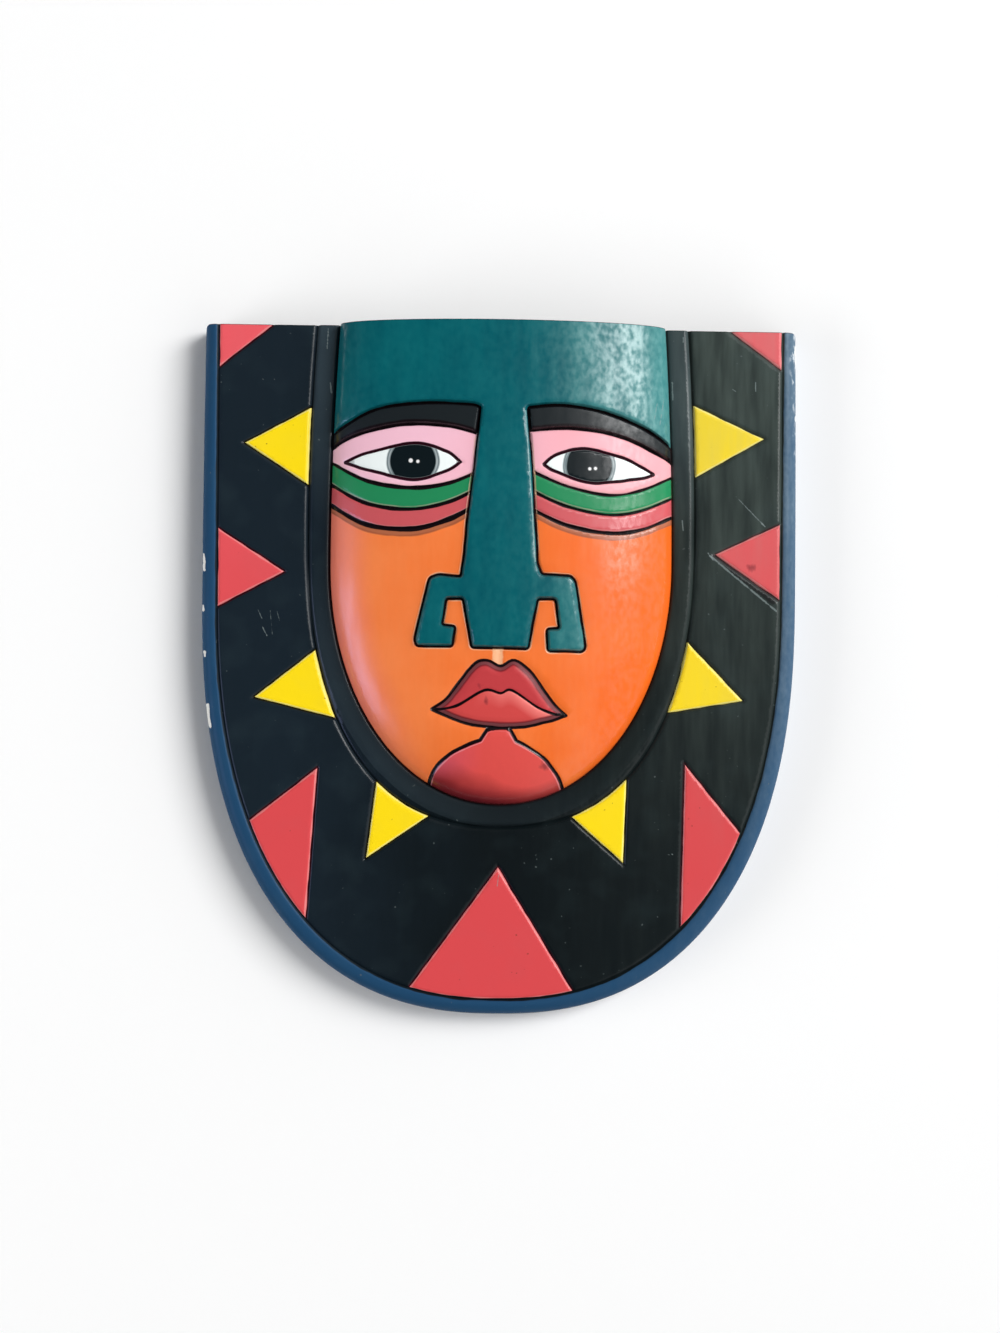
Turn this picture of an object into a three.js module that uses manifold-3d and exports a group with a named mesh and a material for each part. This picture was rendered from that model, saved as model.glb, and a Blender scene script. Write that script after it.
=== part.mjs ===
import * as THREE from 'three';
import { mergeVertices } from 'three/addons/utils/BufferGeometryUtils.js';
import Module from 'manifold-3d';

// A tribal mask carved from one board of wood and painted: a U-shaped shield with a long face in
// relief, a black band around the face, and painted rays whose outlines are cut with a V tool.
// It lies on its back. +Y runs to the sawn top edge, +X to the viewer's right, +Z out of the face,
// and the back is z = 0. All sizes are millimetres.

// Board
const maskWidth = 346;
const maskLength = 400;
const boardThickness = 24;
const topDrop = 2.3;            // the top edge is sawn this much lower at its right end
const rimRound = 8;             // radius of the rounded front edge
const backChamfer = 1.5;
const boardShape = { waist: 0.6, roundness: 2.39, topShare: 0.993 };

// Painted rim inside the rounded edge
const rimWidth = 9.3;
const rimShape = { waist: 0.6, roundness: 2.35, topShare: 1 };

// Face, a long dome that runs out through the top edge
const faceWidth = 198;
const faceLength = 277.5;       // from the chin to the top edge
const faceRise = 28;            // how far the cheeks stand over the field at the centre line
const faceShift = 1.2;          // the face sits this far right of the board's middle
const faceShape = { waist: 0.5, roundness: 2.05, topShare: 0.952 };

// Black band around the face
const bandWidth = 13;
const bandShape = { waist: 0.587, roundness: 2.43, topShare: 0.958 };

// Relief on the face
const noseLift = 3;             // forehead, nose and its stepped wings
const browLift = 1.5;
const lipLift = 2;

// Cuts made with the V tool
const rayCut = { width: 2.4, depth: 1.2 };
const edgeCut = { width: 4, depth: 1.8 };
const faceCut = { width: 1.8, depth: 0.9 };
const stripeCut = { width: 2.4, depth: 1.1 };

// Scooped hollow behind the face
const wall = 14;
const topWall = 22;
const hollowRoof = 14;          // wood left between the hollow and the crest of the dome
const hollowRoundness = 2.4;

// Fineness of the curved surfaces
const turnSteps = 32;           // along the curved lower part of a U line
const sideSteps = 5;            // along each straight side
const domeSteps = 9;
const hollowSteps = 32;
const roundSteps = 3;
const crestCap = 0.6;           // share of a dome step that is left flat along the crest
const sharpestTurn = 0.35;      // a V cutter's corner is drawn out no further than 1 over this

const wasm = await Module();
wasm.setup();

const top = maskLength / 2;
const beyond = 12;              // how far a shape runs past the top edge before it is sawn off
const overshoot = 6;            // how far a shape stands clear of what it cuts or crosses
const cutterRise = 1;           // how far a V cutter stands above the surface

// A U-shaped line, open at the top: an oval quarter on each side below the waist, and a nearly
// straight side above it that draws in towards the top. roundness 2 is an ellipse, more is squarer.
class ULine {
  constructor({ halfWidth, bottom, shape, shift = 0, end = top }) {
    Object.assign(this, { halfWidth, bottom, shift, end, roundness: shape.roundness });
    this.waist = bottom + (top - bottom) * shape.waist;
    this.topHalfWidth = halfWidth * shape.topShare;
  }

  // The same line moved inwards by a distance.
  inset(distance, end = this.end) {
    const line = Object.create(ULine.prototype);
    Object.assign(line, this, {
      halfWidth: this.halfWidth - distance,
      topHalfWidth: this.topHalfWidth - distance,
      bottom: this.bottom + distance,
      end,
    });
    return line;
  }

  // The same line drawn smaller about the foot of its straight part.
  shrunk(share) {
    const line = Object.create(ULine.prototype);
    Object.assign(line, this, {
      halfWidth: this.halfWidth * share,
      topHalfWidth: this.topHalfWidth * share,
      bottom: this.waist - (this.waist - this.bottom) * share,
    });
    return line;
  }

  sideAt(y) {
    const climb = (y - this.waist) / (top - this.waist);
    return this.halfWidth - (this.halfWidth - this.topHalfWidth) * climb * climb;
  }

  // Point at turn, from -1 at the top left through 0 at the bottom to 1 at the top right.
  at(turn) {
    const side = Math.sign(turn);
    const part = Math.abs(turn);
    if (part <= curvedShare) {
      const angle = (part / curvedShare) * (Math.PI / 2);
      const across = (Math.sin(angle) / this.halfWidth) ** this.roundness;
      const down = (Math.cos(angle) / (this.waist - this.bottom)) ** this.roundness;
      const radius = (across + down) ** (-1 / this.roundness);
      return [
        this.shift + side * radius * Math.sin(angle),
        this.waist - radius * Math.cos(angle),
      ];
    }
    const y = this.waist + (this.end - this.waist) * (part - curvedShare) / (1 - curvedShare);
    return [this.shift + side * this.sideAt(y), y];
  }

  // All points of the line, left to right.
  points() {
    return turns.map((turn) => this.at(turn));
  }

  // 0 on the centre line, 1 on the line itself.
  share(x, y) {
    const across = Math.abs(x - this.shift);
    if (y >= this.waist) return across / this.sideAt(y);
    const down = (this.waist - y) / (this.waist - this.bottom);
    return ((across / this.halfWidth) ** this.roundness + down ** this.roundness)
      ** (1 / this.roundness);
  }
}

const curvedShare = 0.7;        // share of a U line's turn that lies on its curved part
const turns = [];
for (let i = 0; i < sideSteps; i++) turns.push(-1 + (1 - curvedShare) * i / sideSteps);
for (let i = 0; i <= turnSteps; i++) turns.push(curvedShare * (2 * i / turnSteps - 1));
for (let i = 1; i <= sideSteps; i++) turns.push(curvedShare + (1 - curvedShare) * i / sideSteps);

const boardLine = new ULine({
  halfWidth: maskWidth / 2, bottom: -top, shape: boardShape, end: top + beyond,
});
const rimLine = new ULine({
  halfWidth: maskWidth / 2 - rimWidth, bottom: rimWidth - top, shape: rimShape,
});
const chin = top - faceLength;
const faceLine = new ULine({
  halfWidth: faceWidth / 2, bottom: chin, shape: faceShape, shift: faceShift, end: top + beyond,
});
const bandLine = new ULine({
  halfWidth: faceWidth / 2 + bandWidth,
  bottom: chin - bandWidth,
  shape: bandShape,
  shift: faceShift,
});

// Places on the face are shares in percent: across from its centre line to its widest edge, and
// up from the chin to the top edge.
const onFace = ([across, up]) => [
  faceShift + across / 100 * faceWidth / 2,
  chin + up / 100 * faceLength,
];

// Height of the carved front: flat field, and the dome of the face with an added lift.
function frontHeight(x, y, lift = 0) {
  const share = faceLine.share(x, y);
  if (share >= 1) return boardThickness;
  return boardThickness + lift + faceRise * Math.sqrt(1 - share * share);
}

// A solid from a three.js geometry, and back.
function solidFrom(geometry) {
  geometry.deleteAttribute('normal');
  geometry.deleteAttribute('uv');
  const merged = mergeVertices(geometry, 1e-4);
  return new wasm.Manifold(new wasm.Mesh({
    numProp: 3,
    vertProperties: new Float32Array(merged.attributes.position.array),
    triVerts: new Uint32Array(merged.index.array),
  }));
}

function geometryFrom(solid) {
  const mesh = solid.getMesh();
  const geometry = new THREE.BufferGeometry();
  geometry.setAttribute('position', new THREE.BufferAttribute(mesh.vertProperties, 3));
  geometry.setIndex(new THREE.BufferAttribute(mesh.triVerts, 1));
  return geometry.toNonIndexed();
}

// The main body of a carved solid, without the crumbs that crossing cuts leave.
function largest(solid) {
  return solid.decompose().reduce((one, other) => (other.volume() > one.volume() ? other : one));
}

// A closed solid through a stack of outlines, each { points, z }, lowest first, all with the same
// number of points, running round to the left as seen from above.
function stack(outlines) {
  const count = outlines[0].points.length;
  const corners = outlines.flatMap(({ points, z }) => points.map(([x, y]) => [x, y, z]));
  const triangles = [];
  for (let level = 0; level + 1 < outlines.length; level++) {
    for (let i = 0; i < count; i++) {
      const low = level * count + i;
      const lowNext = level * count + (i + 1) % count;
      triangles.push([low, lowNext, lowNext + count], [low, lowNext + count, low + count]);
    }
  }
  const cap = (level, flip) => {
    const flat = outlines[level].points.map(([x, y]) => new THREE.Vector2(x, y));
    for (const [a, b, c] of THREE.ShapeUtils.triangulateShape(flat, [])) {
      const corner = [a, b, c].map((index) => level * count + index);
      triangles.push(flip ? corner.reverse() : corner);
    }
  };
  cap(0, true);
  cap(outlines.length - 1, false);
  const geometry = new THREE.BufferGeometry();
  geometry.setAttribute('position', new THREE.Float32BufferAttribute(corners.flat(), 3));
  geometry.setIndex(triangles.flat());
  return solidFrom(geometry);
}

// The board: chamfered at the back, upright at its side and rounded into the front.
function makeBoard() {
  const level = (inset, z) => ({ points: boardLine.inset(inset).points(), z });
  const outlines = [level(backChamfer, 0), level(0, backChamfer)];
  for (let i = 0; i <= roundSteps; i++) {
    const angle = (i / roundSteps) * (Math.PI / 2);
    outlines.push(level(
      rimRound * (1 - Math.cos(angle)),
      boardThickness - rimRound * (1 - Math.sin(angle)),
    ));
  }
  return stack(outlines);
}

// The dome of the face, lifted by a little for what stands proud on it.
function makeDome(lift) {
  const outlines = [{ points: faceLine.points(), z: boardThickness / 2 }];
  for (let i = 0; i <= domeSteps; i++) {
    const angle = Math.PI / 2 * (1 - i / (domeSteps + crestCap));
    outlines.push({
      points: faceLine.shrunk(Math.sin(angle)).points(),
      z: boardThickness + lift + faceRise * Math.cos(angle),
    });
  }
  return stack(outlines);
}

// A region of the face left standing proud by a lift.
function raised(points, lift) {
  const shape = new THREE.Shape(points.map(([x, y]) => new THREE.Vector2(x, y)));
  const prism = new THREE.ExtrudeGeometry(shape, {
    depth: boardThickness + faceRise + noseLift + overshoot, bevelEnabled: false,
  });
  prism.translate(0, 0, boardThickness / 2);
  return solidFrom(prism).intersect(makeDome(lift));
}

// The cutter of a V groove along a path of [x, y] points on the front.
function vCutter(path, { width, depth }, lift = 0) {
  const half = width / 2 * (depth + cutterRise) / depth;
  const corners = [];
  path.forEach(([x, y], i) => {
    const before = path[Math.max(i - 1, 0)];
    const after = path[Math.min(i + 1, path.length - 1)];
    const into = new THREE.Vector2(x - before[0], y - before[1]).normalize();
    const out = new THREE.Vector2(after[0] - x, after[1] - y).normalize();
    const along = into.clone().add(out).normalize();
    const straight = into.lengthSq() && out.lengthSq() ? Math.max(along.dot(into), sharpestTurn) : 1;
    const [ax, ay] = [-along.y * half / straight, along.x * half / straight];
    const z = frontHeight(x, y, lift);
    corners.push(
      [x + ax, y + ay, frontHeight(x + ax, y + ay, lift) + cutterRise],
      [x, y, z - depth],
      [x - ax, y - ay, frontHeight(x - ax, y - ay, lift) + cutterRise],
    );
  });
  const triangles = [[0, 1, 2]];
  for (let i = 0; i + 1 < path.length; i++) {
    for (let k = 0; k < 3; k++) {
      const a = i * 3 + k;
      const b = i * 3 + (k + 1) % 3;
      triangles.push([a, a + 3, b + 3], [a, b + 3, b]);
    }
  }
  const last = (path.length - 1) * 3;
  triangles.push([last, last + 2, last + 1]);
  const geometry = new THREE.BufferGeometry();
  geometry.setAttribute('position', new THREE.Float32BufferAttribute(corners.flat(), 3));
  geometry.setIndex(triangles.flat());
  return solidFrom(geometry);
}

// A smooth line through a few points, sampled evenly.
function smooth(points, steps) {
  const curve = new THREE.SplineCurve(points.map(([x, y]) => new THREE.Vector2(x, y)));
  return curve.getSpacedPoints(steps).map(({ x, y }) => [x, y]);
}

// Rays in two rings. Each has its feet and its tip as turns along the U lines, and its reach as a
// share of the field's width. Yellow rays stand on the band, red rays stand on the rim.
const yellowRays = [
  { feet: [-0.881, -0.766], tip: -0.859, reach: 0.72 },
  { feet: [-0.448, -0.32], tip: -0.492, reach: 0.68 },
  { feet: [-0.205, -0.107], tip: -0.185, reach: 0.43 },
  { feet: [0.11, 0.216], tip: 0.175, reach: 0.42 },
  { feet: [0.334, 0.47], tip: 0.492, reach: 0.68 },
  { feet: [0.781, 0.889], tip: 0.871, reach: 0.81 },
];
const redRays = [
  { feet: [-1.04, -0.951], tip: -1, reach: 0.56 },
  { feet: [-0.774, -0.678], tip: -0.649, reach: 0.75 },
  { feet: [-0.37, -0.235], tip: -0.31, reach: 0.7 },
  { feet: [-0.097, 0.087], tip: 0, reach: 0.77 },
  { feet: [0.225, 0.358], tip: 0.324, reach: 0.66 },
  { feet: [0.694, 0.783], tip: 0.689, reach: 0.77 },
  { feet: [0.952, 1.04], tip: 1, reach: 0.61 },
];

function onField(turn, share) {
  const [x0, y0] = bandLine.at(turn);
  const [x1, y1] = rimLine.at(turn);
  return [x0 + (x1 - x0) * share, y0 + (y1 - y0) * share];
}

function rayCutters() {
  const cutter = ({ feet: [from, to], tip, reach: length }, foot, towards) => vCutter([
    onField(from, foot), onField(tip, foot + towards * length), onField(to, foot),
  ], rayCut);
  return [
    ...yellowRays.map((ray) => cutter(ray, 0, 1)),
    ...redRays.map((ray) => cutter(ray, 1, -1)),
  ];
}

// Forehead, nose and stepped wings in one raised shape. The forehead's lower edge follows the
// brows; each wing steps out, down and back in to a hook.
const leftBrowTop = [[-104, 75.5], [-96, 77.4], [-73.2, 81.5], [-45.4, 82.7], [-19, 82.4], [-12.4, 81.8]];
const rightBrowTop = [[14.6, 81.8], [30.7, 82.4], [46.5, 82], [60.4, 81], [77.3, 78.9], [89, 76.8], [104, 73.2]];
const leftNose = [
  [-16.3, 68.4], [-19.5, 59], [-21.2, 51.5], [-22.9, 47.2], [-35.9, 47.6], [-41, 46.9],
  [-49.4, 34.3], [-48.3, 32.9], [-27.4, 32.9], [-26, 37], [-33.7, 37.3], [-31.2, 42.6],
  [-21.5, 42.7], [-16.4, 32.7],
];
const rightNose = [
  [15.9, 32.5], [21.1, 42.7], [31.4, 42.7], [33.8, 36.8], [26.5, 36.6], [27.4, 32.1],
  [47.2, 32], [49, 32.8], [42.7, 46.5], [40.1, 47.5], [23.4, 47.8], [21, 50.2],
  [18.4, 63.8], [16.7, 73.2],
];

function noseRegion() {
  return [
    [-104, 106], ...smooth(leftBrowTop, 10), ...leftNose, ...rightNose,
    ...smooth(rightBrowTop, 10), [104, 106],
  ].map(onFace);
}

const leftBrowFoot = [[-104, 72.6], [-86.8, 76], [-58.4, 78.2], [-31.9, 77.9], [-14.4, 76.4]];
const rightBrowFoot = [[16, 77], [41.2, 77.6], [70.7, 75.9], [104, 70.6]];

function browRegion(topEdge, foot) {
  return [...smooth(foot, 8), ...smooth(topEdge, 10).reverse()].map(onFace);
}

const leftUpperLid = [[-91.1, 70.8], [-78.4, 72.5], [-50.5, 74.4], [-32, 72.7], [-23.6, 70.6]];
const leftLowerLid = [[-91.1, 70.8], [-78.3, 69.3], [-51.4, 67.1], [-31.9, 68.8], [-23.6, 70.6]];
const rightUpperLid = [[24.2, 70.2], [31, 72.2], [47.4, 73.5], [70.8, 71.7], [87.6, 68.8]];
const rightLowerLid = [[24.2, 70.2], [31.1, 68.8], [51, 66.7], [77.5, 67.7], [87.6, 68.8]];

// Two stripes sag under each eye between three cut lines: a first one, a lowest one, and one
// between them at this share of the way down.
const leftStripe = [[-99, 71], [-78, 67], [-52, 65.4], [-30, 66.4], [-17.6, 68]];
const leftLowest = [[-99, 62.1], [-78, 58], [-52, 57], [-30, 59], [-17.6, 61.1]];
const rightStripe = [[18.6, 68.7], [38, 65.9], [62, 64.3], [82, 65.7], [99, 68.5]];
const rightLowest = [[18.6, 60.9], [38, 57.9], [62, 56.5], [82, 57.5], [99, 60.1]];
const stripeParting = 0.52;

const upperLip = [
  [-39.2, 20], [-29.3, 22.7], [-16.2, 28.9], [-8, 30.1], [0.2, 28.9], [8.5, 30.1],
  [18.7, 27.3], [30, 21.7], [38.2, 18.9],
];
const lowerLip = [[38.2, 18.9], [20, 16.9], [0.5, 16.3], [-19.3, 17.2], [-39.2, 20]];
const lipLine = [
  [-33.9, 20], [-23.9, 20.9], [-8.9, 24], [0.4, 23.4], [6.9, 24], [22, 20.5], [32, 19.1],
];
const chinLeft = [[-6.8, 15.6], [-11.2, 13.7], [-29.2, 10.8], [-40.2, 5.6], [-42, 1]];
const chinRight = [[5.8, 15.6], [9.8, 13.6], [25.9, 9.8], [37, 3.7], [38, 0]];

function lipRegion() {
  return [...smooth(upperLip, 20), ...smooth(lowerLip, 10).slice(1, -1)].reverse().map(onFace);
}

function faceCutters() {
  const cut = (points, steps, tool, lift) => vCutter(smooth(points, steps).map(onFace), tool, lift);
  const between = (first, lowest, share) => first.map(([across, up], place) => (
    [across, up + (lowest[place][1] - up) * share]));
  return [
    ...[leftUpperLid, leftLowerLid, rightUpperLid, rightLowerLid].map((lid) => cut(lid, 8, faceCut)),
    ...[[leftStripe, leftLowest], [rightStripe, rightLowest]].flatMap(([first, lowest]) => (
      [0, stripeParting, 1].map((share) => cut(between(first, lowest, share), 8, stripeCut)))),
    cut(chinLeft, 6, faceCut),
    cut(chinRight, 6, faceCut),
    cut(lipLine, 12, faceCut, lipLift),
  ];
}

// The scooped hollow: an oval bowl behind the face that leaves a wall all round.
function makeHollow() {
  const low = chin + wall;
  const high = top - topDrop - topWall;
  const middle = (low + high) / 2;
  const depth = boardThickness + faceRise - hollowRoof;
  const power = 2 / hollowRoundness;
  const oval = (share, z) => ({
    points: Array.from({ length: hollowSteps }, (_, i) => {
      const angle = 2 * Math.PI * i / hollowSteps;
      const [across, up] = [Math.cos(angle), Math.sin(angle)];
      return [
        faceShift + share * (faceWidth / 2 - wall) * Math.sign(across) * Math.abs(across) ** power,
        middle + share * (high - low) / 2 * Math.sign(up) * Math.abs(up) ** power,
      ];
    }),
    z,
  });
  const outlines = [oval(1, -overshoot)];
  for (let i = 0; i < domeSteps; i++) {
    const angle = (i / domeSteps) * (Math.PI / 2);
    outlines.push(oval(Math.cos(angle), depth * Math.sin(angle)));
  }
  return stack(outlines);
}

// What is sawn off above the top edge.
function topOffcut() {
  const blank = new THREE.BoxGeometry(2 * maskWidth, 4 * beyond, 8 * boardThickness);
  blank.translate(0, 2 * beyond, 0);
  blank.rotateZ(-Math.atan2(topDrop, maskWidth));
  blank.translate(0, top - topDrop / 2, 0);
  return solidFrom(blank);
}

function makeMask() {
  const wood = wasm.Manifold.union([
    makeBoard(),
    makeDome(0),
    raised(noseRegion(), noseLift),
    raised(browRegion(leftBrowTop, leftBrowFoot), browLift),
    raised(browRegion(rightBrowTop, rightBrowFoot), browLift),
    raised(lipRegion(), lipLift),
  ]);
  const cuts = wasm.Manifold.union([
    vCutter(rimLine.inset(0, top + beyond).points(), edgeCut),
    vCutter(bandLine.inset(0, top + beyond).points(), edgeCut),
    ...rayCutters(),
    ...faceCutters(),
    makeHollow(),
    topOffcut(),
  ]);
  return largest(wood.subtract(cuts));
}

const paintedWood = new THREE.MeshStandardMaterial({ color: 0x1b2427, roughness: 0.42, metalness: 0 });

const mask = new THREE.Mesh(geometryFrom(makeMask()), paintedWood);
mask.name = 'mask';

const model = new THREE.Group();
model.add(mask);

export default model;
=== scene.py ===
import bpy
import numpy as np
from mathutils.geometry import delaunay_2d_cdt
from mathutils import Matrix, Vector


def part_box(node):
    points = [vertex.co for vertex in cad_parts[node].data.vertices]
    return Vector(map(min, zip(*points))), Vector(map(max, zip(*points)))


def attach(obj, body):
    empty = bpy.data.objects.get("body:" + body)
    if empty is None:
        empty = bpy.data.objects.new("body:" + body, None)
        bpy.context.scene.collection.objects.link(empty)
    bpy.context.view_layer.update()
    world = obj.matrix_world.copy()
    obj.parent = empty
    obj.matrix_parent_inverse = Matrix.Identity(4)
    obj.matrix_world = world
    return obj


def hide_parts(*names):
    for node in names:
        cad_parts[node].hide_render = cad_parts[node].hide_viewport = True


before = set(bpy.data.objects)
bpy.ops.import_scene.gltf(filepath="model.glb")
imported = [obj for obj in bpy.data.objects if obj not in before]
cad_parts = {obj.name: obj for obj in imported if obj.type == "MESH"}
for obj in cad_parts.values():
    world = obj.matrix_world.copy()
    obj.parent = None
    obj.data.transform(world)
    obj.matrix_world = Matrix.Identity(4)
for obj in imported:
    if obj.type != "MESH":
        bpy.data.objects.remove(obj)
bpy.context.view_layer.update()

# The board. One plank, sawn to a U with a straight top edge and rounded over along its front.
# Everything else is carved into it, so its sizes come first; they are millimetres throughout.

MM = 0.001
corner_low, corner_high = (np.array(corner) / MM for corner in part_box("mask"))
mask_width = corner_high[0] - corner_low[0]
top = corner_high[1]
foot = corner_low[1]
crest = corner_high[2]
board_thickness = 24.0
top_drop = 2.3
rim_round = 8.0
corner_round = 3.0
CURVED = 0.7


class ULine:
    """A U-shaped line, open at the top. Below its waist it is half a superellipse: the powers of
    the shares across and down add up to 1. Above it the sides draw in with the square of height.
    The first CURVED of the way from the bottom to either end lies below the waist."""

    def __init__(self, half_width, bottom, waist, roundness, top_share, shift=0.0):
        self.half_width = half_width
        self.bottom = bottom
        self.waist = bottom + (top - bottom) * waist
        self.roundness = roundness
        self.top_half_width = half_width * top_share
        self.shift = shift

    def inset(self, distance):
        """The same line moved inwards."""
        line = ULine.__new__(ULine)
        line.__dict__.update(self.__dict__)
        line.half_width -= distance
        line.top_half_width -= distance
        line.bottom += distance
        return line

    def at(self, turn):
        """Points at turn, from -1 at the top left through 0 at the bottom to 1 at the top right."""
        part = np.abs(turn)
        angle = np.clip(part / CURVED, 0, 1) * np.pi / 2
        depth = self.waist - self.bottom
        radius = (
            (np.sin(angle) / self.half_width) ** self.roundness
            + (np.cos(angle) / depth) ** self.roundness
        ) ** (-1 / self.roundness)
        climb = np.clip(part - CURVED, 0, None) / (1 - CURVED)
        across = radius * np.sin(angle) - (self.half_width - self.top_half_width) * climb**2
        up = self.waist - radius * np.cos(angle) + (top - self.waist) * climb
        return np.stack([self.shift + np.sign(turn) * across, up], axis=-1)

    def path(self):
        """The whole line, running a little past the top edge."""
        return self.at(np.linspace(-1.02, 1.02, 245))

    def share(self, x, y):
        """0 on the centre line, 1 on the line itself."""
        across = np.abs(x - self.shift)
        climb = (y - self.waist) / (top - self.waist)
        side = self.half_width - (self.half_width - self.top_half_width) * climb**2
        down = np.clip(self.waist - y, 0, None) / (self.waist - self.bottom)
        oval = ((across / self.half_width) ** self.roundness + down**self.roundness) ** (
            1 / self.roundness
        )
        return np.where(climb >= 0, across / side, oval)

    def outside(self, x, y):
        """Distance outside the line, negative inside: share less one, over how fast it grows."""
        step = 0.05
        share = self.share(x, y)
        slope = np.hypot(self.share(x + step, y) - share, self.share(x, y + step) - share) / step
        return (share - 1) / np.maximum(slope, 1e-3)


board_line = ULine(mask_width / 2, foot, waist=0.6, roundness=2.39, top_share=0.993)


def under_top(x, y):
    """Distance below the sawn top edge, which falls by top_drop from left to right."""
    return top - top_drop * (x / mask_width + 0.5) - y


def corner_arc(side):
    """The small round where a side meets the top edge: a quarter circle, less its first few
    degrees, which would run along the side."""
    corner_x = side * board_line.top_half_width
    corner = np.array([corner_x, under_top(corner_x, 0.0)])
    turn = np.radians(np.linspace(6, 90, 13))
    return corner + np.column_stack([side * (np.cos(turn) - 1), np.sin(turn) - 1]) * corner_round


board_sides = board_line.path()
board_sides = board_sides[under_top(*board_sides.T) > corner_round]
board_outline = np.vstack([board_sides, corner_arc(1), corner_arc(-1)[::-1]])

# The carver's marks. They are kept in lists until the board is cut: V cuts (path, width, depth)
# and shapes left proud (outline, lift, width of their sloping edge). Measures are distances that
# the paint follows, and are worked out for each point of the finished mesh.

cuts = []
lifts = []
measures = {}

# Black enamel. The whole front is brushed black over the carving, up and down the board, and each
# colour is laid over it. A few wrapped sockets let the paint be written as sums.

material = bpy.data.materials.new("painted_carved_wood")
material.use_nodes = True
tree = material.node_tree
tree.nodes.clear()


class Field:
    """A number, colour or vector that varies over the surface; sums on it add Math nodes."""

    def __init__(self, socket):
        self.socket = socket

    @classmethod
    def node(cls, kind, settings, sockets, output=0):
        """One shader node: its settings first, then the values or links of its sockets."""
        made = tree.nodes.new("ShaderNode" + kind)
        for name, value in settings.items():
            setattr(made, name, value)
        for name, value in sockets.items():
            if isinstance(value, Field):
                tree.links.new(value.socket, made.inputs[name])
            else:
                made.inputs[name].default_value = value
        return cls(made.outputs[output])

    def maths(self, operation, *others):
        """One Math node on this number and the others."""
        return Field.node("Math", {"operation": operation}, dict(enumerate((self, *others))))

    def __add__(self, other):
        return self.maths("ADD", other)

    def __sub__(self, other):
        return self.maths("SUBTRACT", other)

    def __rsub__(self, other):
        return Field.node("Math", {"operation": "SUBTRACT"}, {0: other, 1: self})

    def __mul__(self, other):
        return self.maths("MULTIPLY", other)

    def __truediv__(self, other):
        return self.maths("DIVIDE", other)

    def __abs__(self):
        return self.maths("ABSOLUTE")

    __radd__ = __add__
    __rmul__ = __mul__

    def least(self, other):
        """The smaller of the two."""
        return self.maths("MINIMUM", other)

    def most(self, other):
        """The greater of the two."""
        return self.maths("MAXIMUM", other)

    def ramp(self, low, high):
        """0 at low and 1 at high, straight between; low may be the greater one."""
        return Field.node("MapRange", {}, {"Value": self, "From Min": low, "From Max": high})

    def under(self, colour, cover):
        """This colour with another laid over it where cover is 1."""
        return blend(cover, self, colour)


def blend(share, first, second):
    """A colour between two: the first where share is 0 and the second where it is 1."""
    return Field.node("Mix", {"data_type": "RGBA"}, {0: share, 6: first, 7: second}, output=2)


def shade(red, green, blue):
    """A colour read in 255ths, as the light it stands for."""
    share = np.array([red, green, blue]) / 255
    light = np.where(share <= 0.04045, share / 12.92, ((share + 0.055) / 1.055) ** 2.4)
    return (*light.tolist(), 1.0)


spot = Field.node("VectorMath", {"operation": "SCALE"}, {
    0: Field.node("TexCoord", {}, {}, output=3), "Scale": 1 / MM,
})
parted = Field.node("SeparateXYZ", {}, {0: spot}).socket.node
across, up, height = (Field(socket) for socket in parted.outputs)


def noise(size, pull=(1.0, 1.0, 1.0), detail=2.0, shift=0.0):
    """Noise about 0 with lumps of the given size, drawn out along the axes by pull."""
    place = Field.node("VectorMath", {"operation": "MULTIPLY_ADD"}, {
        0: spot, 1: tuple(1 / (size * share) for share in pull), 2: (shift, shift, shift),
    })
    return Field.node("TexNoise", {}, {"Vector": place, "Scale": 1.0, "Detail": detail}) - 0.5


brush = noise(3.0, pull=(1.0, 9.0, 1.0), detail=3.0)
cloud = noise(38.0, detail=3.0, shift=4.0)
green_black = shade(10, 18, 21)
blue_sheen_black = shade(21, 33, 42)
# Towards the left the black is laid bluer and lighter: a painted bluish sheen of the light from the
# left.
paint = blend((0 - across + cloud * 60).ramp(10, 120) + brush * 0.2, green_black, blue_sheen_black)

# The rim. A strip of dark blue rolled over the rounded edge and down the side, parted from the
# black field by a V cut.

rim_width = 9.3
rim_line = ULine(
    mask_width / 2 - rim_width, foot + rim_width, waist=0.6, roundness=2.35, top_share=1
)
rim_cut = (3.2, 1.4)
cuts.append((rim_line.path(), *rim_cut))
measures["rim"] = rim_line.outside
measures["edge"] = board_line.outside


def measure(name):
    """One of the measures, as the points of the mesh keep it."""
    return Field.node("Attribute", {"attribute_name": name}, {}, output=2)


wobble = noise(11.0, detail=1.0) * 1.1


def within(distance, soft=0.3):
    """1 inside a painted edge and 0 outside, with a hand's wobble."""
    return (distance + wobble).ramp(soft / 2, -soft / 2)


rim_blue = shade(33, 72, 106)
on_rim = within(0.9 - measure("rim"))
paint = paint.under(rim_blue, on_rim)

# The band. A plain black moulding that follows the face, slightly crowned, with a V cut on each
# side of it.

face_width = 198.0
face_length = 277.5
face_shift = 1.2
chin = top - face_length
band_width = 13.0
band_crown = 1.2
band_shoulder = 2.4
band_line = ULine(
    face_width / 2 + band_width, chin - band_width, waist=0.587, roundness=2.43, top_share=0.958,
    shift=face_shift,
)
band_cut = (3.6, 1.7)
cuts.append((band_line.path(), *band_cut))

# The rays. Thirteen painted triangles in two rings: yellow ones stand on the band, red ones on the
# rim. Their slanting sides are V cuts. Feet and tip are turns along the U lines, and reach is a
# share of the field's width.

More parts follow.
